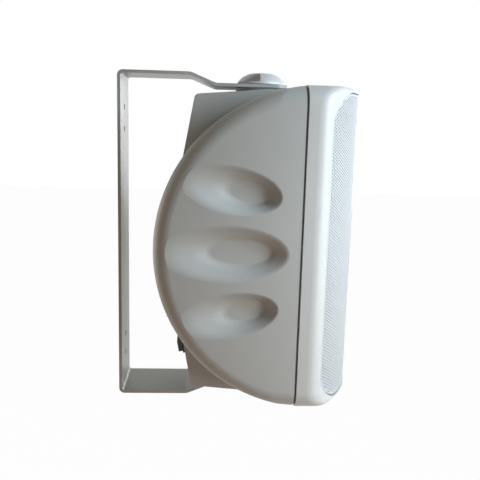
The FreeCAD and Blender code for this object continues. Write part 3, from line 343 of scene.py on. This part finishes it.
def sheetTree():
    tree = bpy.data.node_groups.new("perforatedSheet", "GeometryNodeTree")
    decimals = ("Side", "Pitch", "Column Step", "Hole Radius", "Field Corner", "Bow Radius", "Bow Centre",
                "Sheet", "Strip Width")
    wholes = ("Columns", "Rows", "Hole Sides", "Last Strip")
    kinds = {"Outline": "Geometry"} | dict.fromkeys(decimals, "Float") | dict.fromkeys(wholes, "Int")
    kinds |= {"Field Half": "Vector", "Finish": "Material"}
    for name, kind in kinds.items():
        tree.interface.new_socket(name, in_out="INPUT", socket_type="NodeSocket" + kind)
    tree.interface.new_socket("Sheet", in_out="OUTPUT", socket_type="NodeSocketGeometry")
    given = addNode(tree, "NodeGroupInput").outputs

    # hole centres on the unrolled sheet, every second column half a pitch lower
    index = addNode(tree, "GeometryNodeInputIndex").outputs[0]
    column = maths(tree, "FLOOR", maths(tree, "DIVIDE", index, given["Rows"]))
    row = maths(tree, "MODULO", index, given["Rows"])
    odd = maths(tree, "MODULO", column, 2.0)
    stagger = maths(tree, "MULTIPLY_ADD", odd, -0.5, row)
    lift = maths(tree, "ADD", stagger, maths(tree, "MULTIPLY", given["Rows"], -0.5))
    lift = maths(tree, "MULTIPLY", lift, given["Pitch"])
    along = maths(tree, "MULTIPLY", maths(tree, "ADD", column, 0.5), given["Column Step"])
    along = maths(tree, "MULTIPLY", along, given["Side"])
    centre = addNode(tree, "ShaderNodeCombineXYZ", inputs={"X": along, "Y": lift}).outputs[0]
    count = maths(tree, "MULTIPLY", given["Columns"], given["Rows"])
    points = addNode(tree, "GeometryNodePoints", inputs={"Count": count, "Position": centre}).outputs[0]

    # the same place seen from the front, where the bow narrows the sheet
    place = addNode(tree, "GeometryNodeInputPosition").outputs[0]
    flat = addNode(tree, "ShaderNodeSeparateXYZ", inputs={0: place}).outputs
    share = maths(tree, "DIVIDE", flat["X"], given["Bow Radius"])
    turn = maths(tree, "MAXIMUM", maths(tree, "MINIMUM", share, math.pi / 2), -math.pi / 2)
    across = maths(tree, "MULTIPLY", maths(tree, "SINE", turn), given["Bow Radius"])
    seen = addNode(tree, "ShaderNodeCombineXYZ", inputs={"X": across, "Y": flat["Y"]}).outputs[0]

    # only whole holes inside the plain border stay
    past = vectorMaths(tree, "SUBTRACT", vectorMaths(tree, "ABSOLUTE", seen)[0], given["Field Half"])[0]
    past = vectorMaths(tree, "MAXIMUM", past, (0, 0, 0))[0]
    past = vectorMaths(tree, "LENGTH", past)["Value"]
    outside = maths(tree, "GREATER_THAN", past, given["Field Corner"])
    points = addNode(tree, "GeometryNodeDeleteGeometry", {"domain": "POINT"}, {
        "Geometry": points, "Selection": outside}).outputs[0]
    ring = addNode(tree, "GeometryNodeCurvePrimitiveCircle", inputs={
        "Resolution": given["Hole Sides"], "Radius": given["Hole Radius"]}).outputs[0]
    holes = addNode(tree, "GeometryNodeInstanceOnPoints", inputs={
        "Points": points, "Instance": ring}).outputs[0]
    holes = addNode(tree, "GeometryNodeRealizeInstances", inputs={0: holes}).outputs[0]
    holes = addNode(tree, "GeometryNodeSetPosition", inputs={
        "Geometry": holes, "Position": seen}).outputs[0]

    # each strip's outline filled round its holes, the strips joined, then given their thickness
    edge = addNode(tree, "GeometryNodeMeshToCurve", inputs={"Mesh": given["Outline"]}).outputs[0]
    curves = addNode(tree, "GeometryNodeJoinGeometry", inputs={0: [edge, holes]}).outputs[0]
    arc = maths(tree, "ARCSINE", maths(tree, "ABSOLUTE", share))
    arc = maths(tree, "MULTIPLY", arc, given["Bow Radius"])
    strip = maths(tree, "FLOOR", maths(tree, "DIVIDE", arc, given["Strip Width"]))
    strip = maths(tree, "MINIMUM", strip, given["Last Strip"])
    filled = addNode(tree, "GeometryNodeFillCurve", inputs={"Curve": curves, "Group ID": strip}).outputs[0]
    back = addNode(tree, "GeometryNodeMergeByDistance", inputs={
        "Geometry": filled, "Distance": grille["weld"]}).outputs[0]
    raised = addNode(tree, "ShaderNodeCombineXYZ", inputs={"Z": given["Sheet"]}).outputs[0]
    front = addNode(tree, "GeometryNodeExtrudeMesh", {"mode": "FACES"}, {
        "Mesh": back, "Offset": raised, "Offset Scale": 1.0, "Individual": False}).outputs[0]
    turned = addNode(tree, "GeometryNodeFlipFaces", inputs={"Mesh": back}).outputs[0]
    solid = addNode(tree, "GeometryNodeJoinGeometry", inputs={0: [front, turned]}).outputs[0]
    solid = addNode(tree, "GeometryNodeMergeByDistance", inputs={
        "Geometry": solid, "Distance": grille["weld"]}).outputs[0]

    # the flat sheet laid on the bow: X across, Z up, the front towards -Y
    fore = maths(tree, "SQRT", maths(tree, "SUBTRACT", 1.0, maths(tree, "MULTIPLY", share, share)))
    radius = maths(tree, "SUBTRACT", given["Bow Radius"], given["Sheet"])
    radius = maths(tree, "ADD", radius, flat["Z"])
    reach = maths(tree, "MULTIPLY_ADD", fore, radius, given["Bow Centre"])
    bowed = addNode(tree, "ShaderNodeCombineXYZ", inputs={
        "X": maths(tree, "MULTIPLY", share, radius),
        "Y": maths(tree, "MULTIPLY", reach, -1.0),
        "Z": flat["Y"]}).outputs[0]
    sheet = addNode(tree, "GeometryNodeSetPosition", inputs={
        "Geometry": solid, "Position": bowed}).outputs[0]
    sheet = addNode(tree, "GeometryNodeRealizeInstances", inputs={0: sheet}).outputs[0]
    sheet = addNode(tree, "GeometryNodeSetMaterial", inputs={
        "Geometry": sheet, "Material": given["Finish"]}).outputs[0]
    addNode(tree, "NodeGroupOutput", inputs={0: sheet})
    return tree


def addPiece(name, data):
    piece = bpy.data.objects.new(name, data)
    scene.collection.objects.link(piece)
    return piece


def smoothMesh(mesh, sharpDeg):    # smooth shading, except over edges sharper than this
    mesh.polygons.foreach_set("use_smooth", [True] * len(mesh.polygons))
    mesh.set_sharp_from_angle(angle=math.radians(sharpDeg))


# runs a tree on a base mesh and gives back the result as a plain mesh
def grownMesh(name, base, tree, values):
    piece = addPiece(name, base)
    modifier = piece.modifiers.new(name, "NODES")
    modifier.node_group = tree
    for socket in tree.interface.items_tree:
        if socket.in_out == "INPUT" and socket.name in values:
            modifier[socket.identifier] = values[socket.name]
    graph = bpy.context.evaluated_depsgraph_get()
    mesh = bpy.data.meshes.new_from_object(piece.evaluated_get(graph))
    mesh.name = name
    piece.modifiers.remove(modifier)
    bpy.data.objects.remove(piece)
    return mesh


def edgeHeight(x, inset):    # half the outline's height at a distance from its middle
    past = max(0.0, x - (grille["halfWidth"] - grille["corner"]))
    return grille["halfHeight"] - grille["corner"] + math.sqrt((grille["corner"] - inset) ** 2 - past ** 2)


# the closed outline of one upright strip of the right half; the last one ends at the sheet's own edge
def stripLoop(start, end):
    inset = grille["edgeBend"]
    step = grille["outlineStep"]
    inside = [(x, z) for x, z in rightOutline(inset) if x > start and (end is None or x < end)]
    loop = [(start, -edgeHeight(start, inset))] + [(x, z) for x, z in inside if z <= 0]
    if end is not None:
        high = edgeHeight(end, inset)
        loop += [(end, z) for z in spread(-high, high, step)] + [(end, high)]
    loop += [(x, z) for x, z in inside if z > 0]
    high = edgeHeight(start, inset)
    return loop + [(start, z) for z in spread(high, -high, step)]


def perforatedHalf(name, side, tree):
    arc = grille["bowRadius"] * math.asin(grille["halfWidth"] / grille["bowRadius"])
    columnStep = grille["pitch"] * math.sin(math.radians(60))
    stripWidth = grille["stripColumns"] * columnStep
    strips = round(arc / stripWidth)
    cuts = [grille["bowRadius"] * math.sin(i * stripWidth / grille["bowRadius"]) for i in range(strips)]
    points = []
    edges = []
    for start, end in zip(cuts, cuts[1:] + [None]):
        loop = stripLoop(start, end)
        first = len(points)
        points += [(side * x, z, 0) for x, z in loop]
        edges += [(first + i, first + (i + 1) % len(loop)) for i in range(len(loop))]
    base = bpy.data.meshes.new(name + "Outline")
    base.from_pydata(points, edges, [])
    margin = grille["edgeBend"] + grille["border"] + grille["holeRadius"]
    mesh = grownMesh(name, base, tree, {
        "Side": side,
        "Columns": math.ceil(arc / columnStep),
        "Rows": 2 * math.ceil(grille["halfHeight"] / grille["pitch"]),
        "Pitch": grille["pitch"],
        "Column Step": columnStep,
        "Hole Radius": grille["holeRadius"],
        "Hole Sides": grille["holeSides"],
        "Field Corner": grille["corner"] - margin,
        "Bow Radius": grille["bowRadius"],
        "Bow Centre": grille["bowCentre"],
        "Sheet": grille["sheet"],
        "Strip Width": stripWidth,
        "Last Strip": strips - 1,
        "Field Half": (
            grille["halfWidth"] - grille["corner"], grille["halfHeight"] - grille["corner"], 0.0),
        "Finish": finishes["grille_steel"],
    })
    smoothMesh(mesh, grille["sheetSharpDeg"])
    return addPiece(name, mesh)


def onBow(x, z, depth):    # depth is measured inwards from the outer face of the sheet
    radius = grille["bowRadius"] - depth
    share = x / grille["bowRadius"]
    return (share * radius, -grille["bowCentre"] - radius * math.sqrt(1 - share * share), z)


# the turned-back edge: a rounded bend, the flange behind it, and the sheet's inner face
def grilleRim():
    bend = grille["edgeBend"]
    sheet = grille["sheet"]
    steps = grille["bendSteps"]
    profile = []
    for i in range(steps + 1):
        angle = math.radians(90 * i / steps)
        profile.append((bend - bend * math.sin(angle), bend - bend * math.cos(angle)))
    profile += [(0, grille["flange"]), (sheet, grille["flange"]), (sheet, bend), (bend, sheet)]
    mesh = bmesh.new()
    rings = []
    for inset, depth in profile:
        right = rightOutline(inset)
        left = [(-x, z) for x, z in reversed(right[1:-1])]
        rings.append([mesh.verts.new(onBow(x, z, depth)) for x, z in right + left])
    for ring, following in zip(rings, rings[1:] + rings[:1]):
        for i in range(len(ring)):
            j = (i + 1) % len(ring)
            mesh.faces.new((ring[i], ring[j], following[j], following[i]))
    bmesh.ops.recalc_face_normals(mesh, faces=mesh.faces)
    data = bpy.data.meshes.new("grilleRim")
    mesh.to_mesh(data)
    mesh.free()
    smoothMesh(data, grille["rimSharpDeg"])
    data.materials.append(finishes["grille_steel"])
    return addPiece("grilleRim", data)


holeTree = sheetTree()
grillePieces = [
    perforatedHalf("grilleLeft", -1.0, holeTree),
    perforatedHalf("grilleRight", 1.0, holeTree),
    grilleRim(),
]
for piece in grillePieces:
    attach(piece, "speaker")
    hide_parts("grille")
    print("grille:", piece.name, len(piece.data.polygons), "faces")


# camera where the photograph was taken from, a little above and ahead of the speaker's side
photoCamera = {
    "place": (-0.53633, -0.07535, 0.09234),
    "aim": (0.0, -0.10275, -0.0039),
    "rollDeg": 1.59,
    "lens": 46.46,
    "sensor": 36.0,
}
cameraData = bpy.data.cameras.new("photoCamera")
cameraData.lens = photoCamera["lens"]
cameraData.sensor_width = photoCamera["sensor"]
camera = addPiece("photoCamera", cameraData)
camera.location = photoCamera["place"]
aimLine = Vector(photoCamera["aim"]) - Vector(photoCamera["place"])
camera.rotation_mode = "QUATERNION"
roll = Quaternion((0, 0, 1), math.radians(photoCamera["rollDeg"]))
camera.rotation_quaternion = aimLine.to_track_quat("-Z", "Y") @ roll
scene.camera = camera
scene.view_settings.view_transform = "Standard"

# soft studio light: near panels ahead of the speaker, a cool one above and a warm one below, a tall
# strip for its front edge, and weak fills for the far side and the back
lamps = {
    "frontPanel": {"place": (-0.24, -0.52, 0.22), "aim": (-0.07, -0.17, 0.0), "size": (0.25, 0.25),
                   "spreadDeg": 80, "power": 0.46, "colour": "#DFF2FF"},
    "lowPanel": {"place": (-0.25, -0.44, -0.08), "aim": (-0.07, -0.16, -0.03), "size": (0.25, 0.25),
                 "spreadDeg": 90, "power": 0.085, "colour": "#FFF3E0"},
    "edgeStrip": {"place": (-0.26, -0.42, 0.02), "aim": (-0.06, -0.19, 0.02), "size": (0.1, 0.7),
                  "spreadDeg": 34, "power": 0.115, "colour": "#F6FAFF"},
    "warmBounce": {"place": (-0.5, 0.15, -0.5), "aim": (0, -0.11, 0), "size": (0.5, 0.5),
                   "spreadDeg": 180, "power": 0.36, "colour": "#FF8038"},
    "farFill": {"place": (0.95, -0.5, 0.1), "aim": (0, -0.11, 0), "size": (0.4, 0.4),
                "spreadDeg": 180, "power": 2.2, "colour": "#FFFFFF"},
    "rearFill": {"place": (0.6, 1.0, -0.1), "aim": (0, -0.11, 0), "size": (0.8, 0.8),
                 "spreadDeg": 180, "power": 4.0, "colour": "#FFF9E7"},
}
for name, lamp in lamps.items():
    light = bpy.data.lights.new(name, "AREA")
    light.shape = "RECTANGLE"
    light.size, light.size_y = lamp["size"]
    light.spread = math.radians(lamp["spreadDeg"])
    light.energy = lamp["power"]
    light.color = hexColour(lamp["colour"])[:3]
    holder = addPiece(name, light)
    holder.location = lamp["place"]
    holder.rotation_euler = (Vector(lamp["aim"]) - holder.location).to_track_quat("-Z", "Y").to_euler()


def seenRay(tree):    # 1 for what is seen directly, mirrored or through glass, 0 for light on its way
    rays = addNode(tree, "ShaderNodeLightPath").outputs
    seen = maths(tree, "MAXIMUM", rays["Is Camera Ray"], rays["Is Glossy Ray"])
    return maths(tree, "MAXIMUM", seen, rays["Is Transmission Ray"])


# white for the eye and for reflections, a dim warm grey as light from all round
studio = {"background": "#FFFFFF", "ambient": "#FFECC4", "ambientStrength": 0.088}
world = bpy.data.worlds.new("studio")
scene.world = world
world.use_nodes = True
sky = world.node_tree
sky.nodes.clear()
ambient = addNode(sky, "ShaderNodeBackground", inputs={
    "Color": hexColour(studio["ambient"]), "Strength": studio["ambientStrength"]})
white = addNode(sky, "ShaderNodeBackground", inputs={
    "Color": hexColour(studio["background"]), "Strength": 1.0})
both = addNode(sky, "ShaderNodeMixShader", inputs={
    0: seenRay(sky), 1: ambient.outputs[0], 2: white.outputs[0]})
addNode(sky, "ShaderNodeOutputWorld", inputs={"Surface": both.outputs[0]})

# pale floor well below the hung speaker: white to the eye, with a light shadow left on it
floor = {"level": -0.55, "half": 6.0, "colour": "#F4F4F2", "glow": "#FFFFFF", "whiteShare": 0.98}
floorMesh = bpy.data.meshes.new("floor")
half = floor["half"]
corners = [(-half, -half), (half, -half), (half, half), (-half, half)]
floorMesh.from_pydata([(x, y, floor["level"]) for x, y in corners], [], [(0, 1, 2, 3)])
paper, paperTree = startFinish("palePaper")
share = maths(paperTree, "MULTIPLY", seenRay(paperTree), floor["whiteShare"])
matt = addNode(paperTree, "ShaderNodeBsdfDiffuse", inputs={"Color": hexColour(floor["colour"])})
glow = addNode(paperTree, "ShaderNodeEmission", inputs={"Color": hexColour(floor["glow"]), "Strength": 1.0})
both = addNode(paperTree, "ShaderNodeMixShader", inputs={
    0: share, 1: matt.outputs[0], 2: glow.outputs[0]})
addNode(paperTree, "ShaderNodeOutputMaterial", inputs={"Surface": both.outputs[0]})
floorMesh.materials.append(paper)
addPiece("floor", floorMesh)
print("stage: camera,", len(lamps), "lamps, floor")
